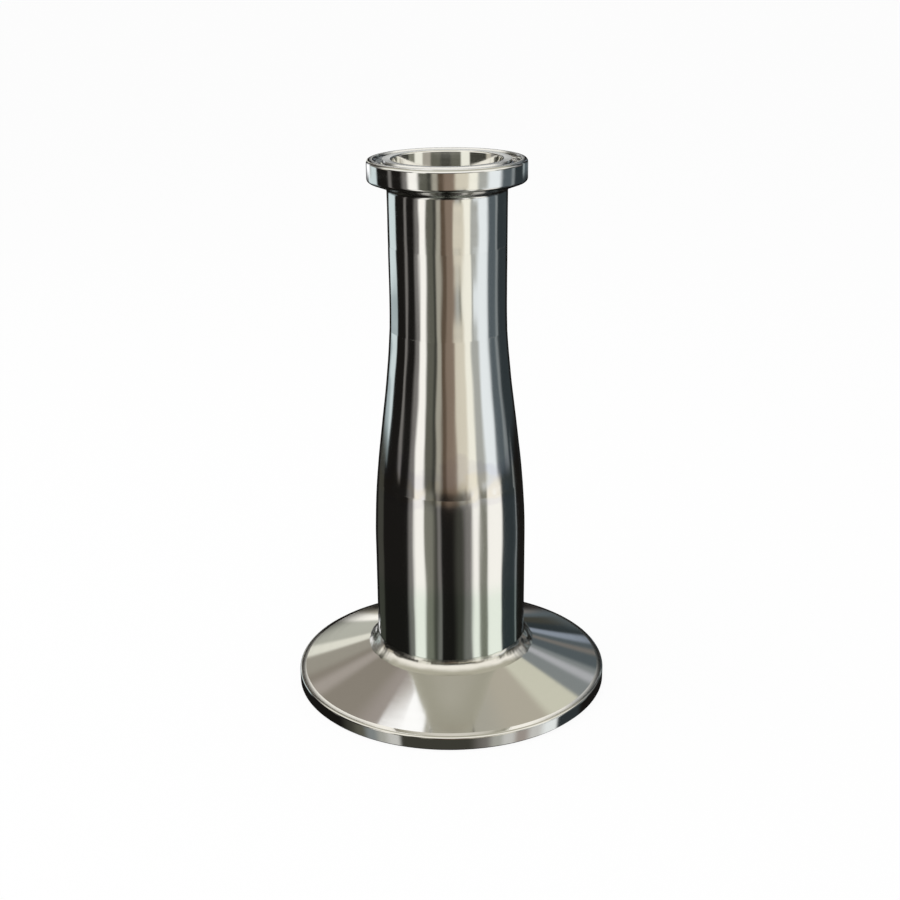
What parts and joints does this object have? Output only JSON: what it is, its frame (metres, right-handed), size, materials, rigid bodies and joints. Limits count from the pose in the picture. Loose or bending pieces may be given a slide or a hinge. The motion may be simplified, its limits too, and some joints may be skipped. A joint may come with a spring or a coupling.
{
  "type": "sanitary clamp reducer",
  "caption": "Welded stainless steel clamp reducer: a small grooved clamp ferrule on a tube that widens through a smooth cone and stands on a wide clamp flange.",
  "frame": {"origin": "centre of the large clamp face, the plane that the part stands on", "axes": "+Z along the flow axis, from the large clamp face to the small one; X and Y are free because the part is round"},
  "size_m": [0.106, 0.106, 0.1793],
  "materials": {
    "turned_steel": "satin, lathe turned",
    "satin_tube_steel": "fine ground and polished along the tube",
    "weld_steel": "brushed weld bead",
    "polished_tube_steel": "hand polished, nearly mirror bright",
    "polished_ferrule_steel": "turned and polished bright"
  },
  "bodies": {
    "root": {"base_ferrule": "turned_steel", "lower_tube": "satin_tube_steel", "base_fillet_weld": "weld_steel", "reducer": "polished_tube_steel", "neck_tube": "polished_tube_steel", "small_ferrule": "polished_ferrule_steel"}
  },
  "joints": []
}
